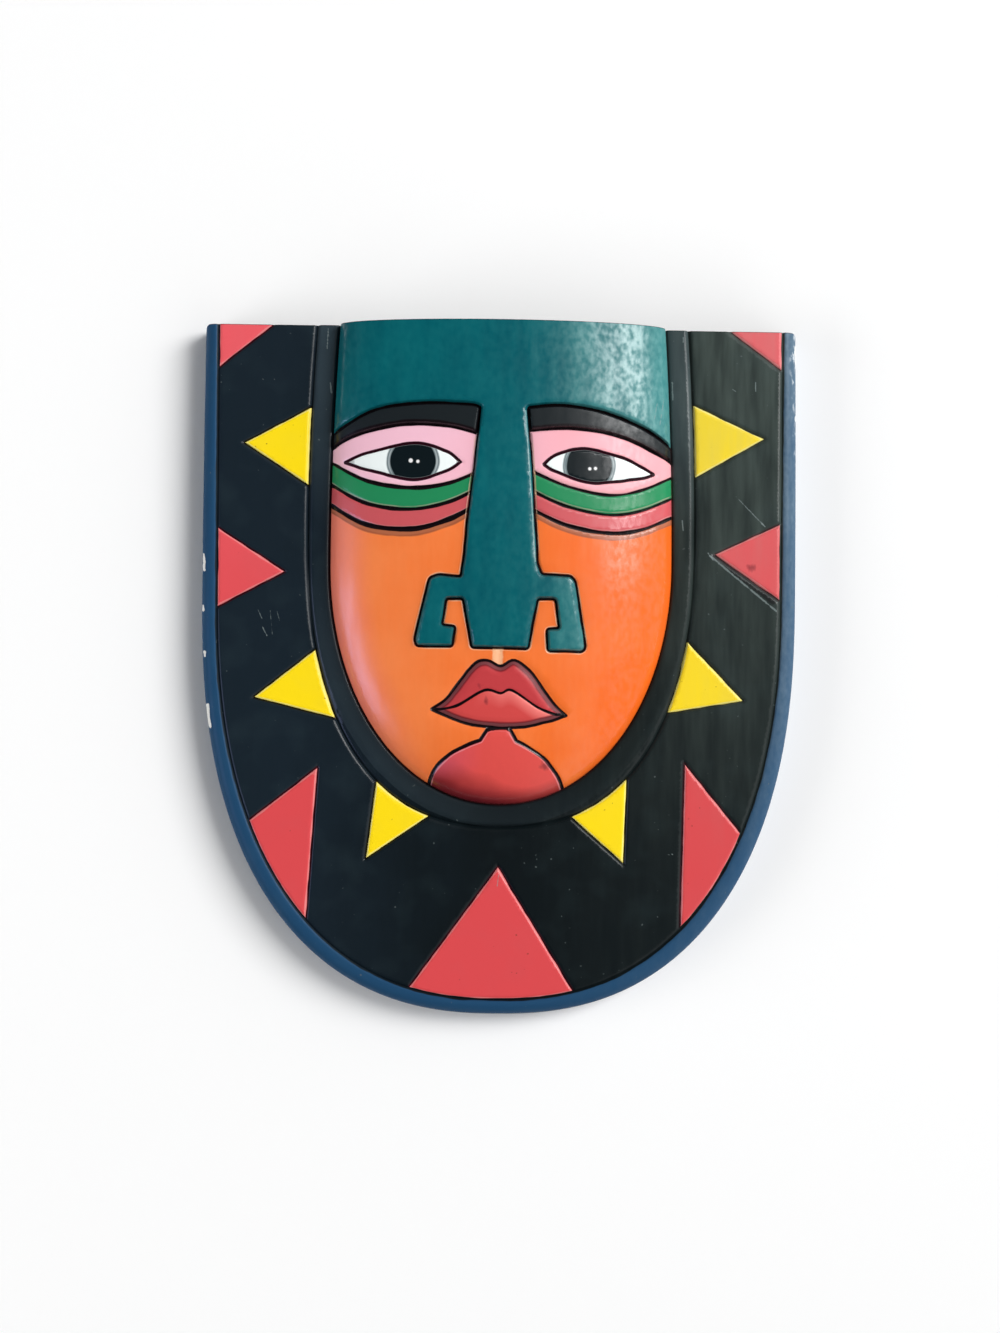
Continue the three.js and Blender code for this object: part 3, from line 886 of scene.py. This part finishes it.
top_middle = top - top_drop / 2
sawn = (up + across * (top_drop / mask_width)).ramp(top_middle - 0.35, top_middle - 0.15)
paint = paint.under(black, sawn)
wood_dark = shade(122, 82, 48)
wood_pale = shade(178, 132, 86)
wood_grain = noise(2.4, pull=(1.0, 30.0, 1.0), detail=4.0, shift=2.0)
wood = blend((wood_grain + cloud * 0.5).ramp(-0.35, 0.35), wood_dark, wood_pale)
bare = (measure("bare") + noise(14.0, detail=4.0, shift=5.0) * 1.2).ramp(0.42, 0.5)
paint = paint.under(wood, bare)

# Cutting the board. The plan is drawn with lines along every cut and every sloping edge, filled
# with points that thin out away from them, and triangulated; each point is then set to its height.

rng = np.random.default_rng(7)
cut_step = 1.0
ring_step = 2.0
ring_insets = rim_round * (1 - np.sin(np.radians([0, 18, 36, 54, 72, 84])))
edge_fade = 1.4
cut_power = 1.15


def front_height(x, y):
    """Height of the carved front: field, rounded edge, band with the square root of the distance
    from its sides, dome, what stands proud on it and fades out at the dome's edge, and the V cuts,
    whose depth falls off with a power just over 1 of the distance from their middle."""
    roll = np.clip(1 + board_line.outside(x, y) / rim_round, 0, 1)
    z = board_thickness - rim_round * (1 - np.sqrt(1 - roll**2))
    from_face = face_line.outside(x, y)
    from_sides = np.minimum(from_face, band_width - from_face)
    z = z + dome(x, y) + band_crown * np.sqrt(np.clip(from_sides / band_shoulder, 0, 1))
    rise = np.zeros(x.shape)
    for outline, lift, slope in lifts:
        rise = np.maximum(rise, lift * ease(-outside(outline, x, y) / slope))
    z = z + rise * ease(-from_face / edge_fade)
    depth = np.zeros(x.shape)
    for path, width, deep in cuts:
        away = np.clip(span(path, x, y) / (width / 2), 0, 1)
        depth = np.maximum(depth, deep * (1 - away) ** cut_power)
    return z - depth


def beside(path, distance):
    """The path moved sideways: each point along the line that halves its corner, drawn out there
    so that both sides keep the distance, but no more than twice."""
    way = np.diff(path, axis=0)
    way /= np.maximum(np.hypot(*way.T), 1e-9)[:, None]
    ring = np.allclose(path[0], path[-1])
    before = np.vstack([way[-1:] if ring else way[:1], way])
    after = np.vstack([way, way[:1] if ring else way[-1:]])
    middle = before + after
    middle /= np.maximum(np.hypot(*middle.T), 1e-9)[:, None]
    draw = 1 / np.maximum((middle * before).sum(1), 0.5)
    return path + distance * draw[:, None] * np.column_stack([-middle[:, 1], middle[:, 0]])


def scattered(step):
    """Points of a triangular grid over the board, shaken a little."""
    columns = np.arange(corner_low[0], corner_high[0], step)
    rows = np.arange(corner_low[1], corner_high[1], step * 0.866)
    x, y = np.meshgrid(columns, rows)
    x = x + step / 2 * (np.arange(len(rows)) % 2)[:, None]
    points = np.column_stack([x.ravel(), y.ravel()])
    return points + rng.uniform(-0.16, 0.16, points.shape) * step


def triangulated(paths, fill):
    """Plan points and triangles whose edges follow the paths (constrained Delaunay)."""
    starts = np.cumsum([0] + [len(path) for path in paths])
    edges = np.concatenate([
        np.column_stack([np.arange(a, b - 1), np.arange(a + 1, b)])
        for a, b in zip(starts[:-1], starts[1:])
    ])
    points = np.vstack([*paths, fill])
    plan, _, faces, *_ = delaunay_2d_cdt(points.tolist(), edges.tolist(), [], 1, 1e-3, False)
    return np.array([tuple(point) for point in plan]), np.array(faces)


def used(points, triangles):
    """The mesh without points that no triangle uses."""
    kept, triangles = np.unique(triangles, return_inverse=True)
    return points[kept], triangles.reshape(-1, 3)


drawn = [(path, (-width / 2, -width / 4, 0, width / 4, width / 2)) for path, width, _ in cuts]
drawn += [(closed(outline), (-slope, -slope / 2)) for outline, _, slope in lifts]
steep_belt = (-0.3, -0.8, -1.8, -3.0)
drawn.append((face_line.path(), steep_belt))
paths = [spaced(beside(path, offset), cut_step) for path, offsets in drawn for offset in offsets]
paths.append(spaced(closed(board_outline), ring_step))
for inset in ring_insets:
    ring = spaced(board_line.inset(inset).path(), ring_step)
    clear_of_corner = corner_round + 1.5 if inset < 1 else -ring_step
    paths.append(ring[under_top(*ring.T) > clear_of_corner])


def clearance(x, y):
    """Distance to the nearest drawn line, for spacing the fill."""
    gap = np.minimum(-board_line.outside(x, y) - rim_round, under_top(x, y))
    for path, offsets in drawn:
        gap = np.minimum(gap, span(path, x, y, 14.0) - np.abs(offsets).max())
    return gap


fill = []
fill_belts = [(1.3, 0.7, 2.6), (2.1, 2.9, 7.0), (3.6, 7.8, np.inf)]
for step, low, high in fill_belts:
    points = scattered(step)
    gap = clearance(*points.T)
    fill.append(points[(gap > low) & (gap < high)])
plan, faces = triangulated(paths, np.vstack(fill))
faces = faces[outside(board_outline, *plan[faces].mean(1).T) < 0]
plan, faces = used(plan, faces)

# The side of the board is a profile carried round the outline of the front: straight down to the
# chamfer, then in to the back, which is triangulated with the lines of the hollow.

back_chamfer = 1.5
ends = faces[:, [[0, 1], [1, 2], [2, 0]]].reshape(-1, 2)
there, back_again = (ends @ np.array(key) for key in ((len(plan), 1), (1, len(plan))))
loop = ends[~np.isin(there, back_again), 0]
loop = loop[np.argsort(np.arctan2(plan[loop, 1], plan[loop, 0]))]
outline = plan[loop]
shrink = 1 - back_chamfer / np.array([mask_width / 2, board_line.waist - foot])
back_outline = np.column_stack([
    outline[:, 0] * shrink[0],
    np.minimum(outline[:, 1], board_line.waist + (outline[:, 1] - board_line.waist) * shrink[1]),
])
back_outline = back_outline.astype(np.float32).astype(float)
hollow_step = 2.4
back_step = 3.4
hollow_shares = (1.001, 0.995, 0.98, 0.95, 0.91, 0.86, 0.8)
hollow_paths = [spaced(hollow_ring(share), hollow_step) for share in hollow_shares]
points = scattered(back_step)
share = hollow_share(*points.T)
points = points[(board_line.outside(*points.T) < -4) & (under_top(*points.T) > 2.5)
                & ((share < 0.78) | (share > 1.03))]
back_plan, back_faces = triangulated([closed(back_outline), *hollow_paths], points)
inside = outside(back_outline, *back_plan[back_faces].mean(1).T) < 0
back_plan, back_faces = used(back_plan, back_faces[inside])

front = np.column_stack([plan, front_height(*plan.T)])
back = np.column_stack([back_plan, back_height(*back_plan.T)])
rim_height = front[loop, 2]
count = len(loop)
rows = [front[loop]]
for share in (0.3, 0.6, 0.85, 1):
    rows.append(np.column_stack([outline, rim_height * (1 - share) + back_chamfer * share]))
rows.append(np.column_stack([back_outline, np.zeros(count)]))
wall_rows = np.stack(rows)
number = np.arange(wall_rows.shape[0] * count).reshape(-1, count)
beyond = np.roll(number, -1, axis=1)
quads = np.stack([number[:-1], number[1:], beyond[1:], beyond[:-1]], -1).reshape(-1, 4)
wall_faces = np.vstack([quads[:, [0, 1, 2]], quads[:, [0, 2, 3]]])
points = np.vstack([front, wall_rows.reshape(-1, 3), back])
triangles = np.vstack([
    faces, wall_faces + len(front), back_faces[:, ::-1] + len(front) + number.size
])
bare_share = np.zeros(len(points))
bare_share[-count - len(back):] = 1
points, first, same = np.unique(
    points.astype(np.float32), axis=0, return_index=True, return_inverse=True
)
triangles = same.reshape(-1)[triangles]
a, b, c = triangles.T
triangles = triangles[(a != b) & (b != c) & (c != a)]

mesh = bpy.data.meshes.new("carved_mask")
mesh.vertices.add(len(points))
mesh.loops.add(triangles.size)
mesh.polygons.add(len(triangles))
mesh.vertices.foreach_set("co", (points * MM).ravel())
mesh.loops.foreach_set("vertex_index", triangles.ravel())
mesh.polygons.foreach_set("loop_start", np.arange(0, triangles.size, 3))
mesh.polygons.foreach_set("use_smooth", np.ones(len(triangles), bool))
mesh.update(calc_edges=True)
mesh.validate()
measures["bare"] = lambda x, y: bare_share[first]
for name, values in measures.items():
    layer = mesh.attributes.new(name, "FLOAT", "POINT")
    layer.data.foreach_set("value", np.asarray(values(*points[:, :2].astype(float).T), np.float32))
sharp_angle = np.radians(52)
mesh.set_sharp_from_angle(angle=sharp_angle)
mask = bpy.data.objects.new("carved_mask", mesh)
bpy.context.collection.objects.link(mask)
mask.data.materials.append(material)
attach(mask, "root")
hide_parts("mask")

# Enamel finish: semi-gloss, duller where it is rubbed, with the ridges of the brush and the grain
# of the wood under it. The varnish is keen on the face, thin on rim, lips and eyes, and gone from
# bare wood and the sawn end.

gloss = 0.6 + cloud * 0.2 + mottle * 0.3 + bare * 0.2
keen = 0.42 + on_skin * 0.58 - on_rim * 0.34 - within(lips) * 0.8
keen = keen - on_band * across.ramp(20, 60) * up.ramp(60, -20) * 0.32
keen = keen - in_eye * across.ramp(90, 20) * 0.9
keen = keen - within(stripe_edges[1]).least(cheek) * (1 - in_eye) * 0.4
handled = (on_teal + across.ramp(50, 65) * 0.6).least(on_skin)
worn_through = (0 - mottle).ramp(-0.1, 0.14) * handled * 0.75
varnish = keen * (0.9 + streak + brush * 0.5 + mottle * on_skin) * (1 - worn_through)
varnish = varnish * (1 - bare) * (1 - sawn)
relief = brush * 0.04 + cloud * 0.25 + mottle * 0.04 + wood_grain * bare * 0.15
bump = Field.node("Bump", {}, {"Strength": 1.0, "Distance": MM, "Height": relief})
surface = Field.node("BsdfPrincipled", {}, {
    "Base Color": paint, "Roughness": gloss, "Normal": bump, "Specular IOR Level": 0.05,
    "Coat Weight": varnish, "Coat Roughness": 0.24,
})
output = tree.nodes.new("ShaderNodeOutputMaterial")
tree.links.new(surface.socket, output.inputs["Surface"])

# The stage. A pale floor under soft studio light: a large softbox high on the right, a low one on
# the left, and a bluish window that shows only as a gloss. The camera looks straight down.

half_floor = 12.0
floor_corners = half_floor * np.array([(-1, -1, 0), (1, -1, 0), (1, 1, 0), (-1, 1, 0)])
floor_mesh = bpy.data.meshes.new("floor")
floor_mesh.from_pydata(floor_corners.tolist(), [], [(0, 1, 2, 3)])
floor = bpy.data.objects.new("floor", floor_mesh)
bpy.context.collection.objects.link(floor)
floor_material = bpy.data.materials.new("pale_floor")
floor_material.use_nodes = True
plain = floor_material.node_tree.nodes["Principled BSDF"]
plain.inputs["Base Color"].default_value = (0.97, 0.97, 0.97, 1)
plain.inputs["Roughness"].default_value = 0.9
plain.inputs["Specular IOR Level"].default_value = 0.1
floor_mesh.materials.append(floor_material)

scene = bpy.context.scene
scene.view_settings.view_transform = "Standard"
world = bpy.data.worlds.new("studio")
world.use_nodes = True
scene.world = world
tree = world.node_tree
tree.nodes.clear()
sky = Field.node("SeparateXYZ", {}, {0: Field.node("TexCoord", {}, {}, output=0)})
glow = sky.ramp(0.15, 0.6) * 1.25 + 0.03
background = Field.node("Background", {}, {"Strength": glow})
output = tree.nodes.new("ShaderNodeOutputWorld")
tree.links.new(background.socket, output.inputs["Surface"])


def softbox(name, place, size, power, tint=(1.0, 1.0, 1.0)):
    """A rectangular light that faces the middle of the mask."""
    light = bpy.data.lights.new(name, "AREA")
    light.shape = "RECTANGLE"
    light.size, light.size_y = size
    light.energy = power
    light.color = tint
    lamp = bpy.data.objects.new(name, light)
    bpy.context.collection.objects.link(lamp)
    lamp.location = place
    away = lamp.location.copy()
    lamp.rotation_euler = away.to_track_quat("Z", "Y").to_euler()
    return lamp


softbox("key_softbox", (2.95, 1.45, 3.35), (1.8, 2.6), 186)
left_fill = softbox("left_fill", (-2.6, -0.65, 1.05), (2.2, 1.7), 45)
left_fill.visible_glossy = False
left_window = softbox("left_window", (-2.3, -0.63, 1.03), (1.5, 1.2), 26, (0.5, 0.58, 1.0))
left_window.visible_diffuse = False

sensor_width = 36.0
camera_height = 1200.0
view_height = 773.1
camera_data = bpy.data.cameras.new("camera")
camera_data.sensor_width = sensor_width
camera_data.lens = sensor_width * (camera_height - board_thickness) / view_height
camera = bpy.data.objects.new("camera", camera_data)
camera.location = (1.16 * MM, 2.6 * MM, camera_height * MM)
camera.rotation_euler = (0, 0, np.radians(0.5))
bpy.context.collection.objects.link(camera)
scene.camera = camera

bpy.context.view_layer.update()
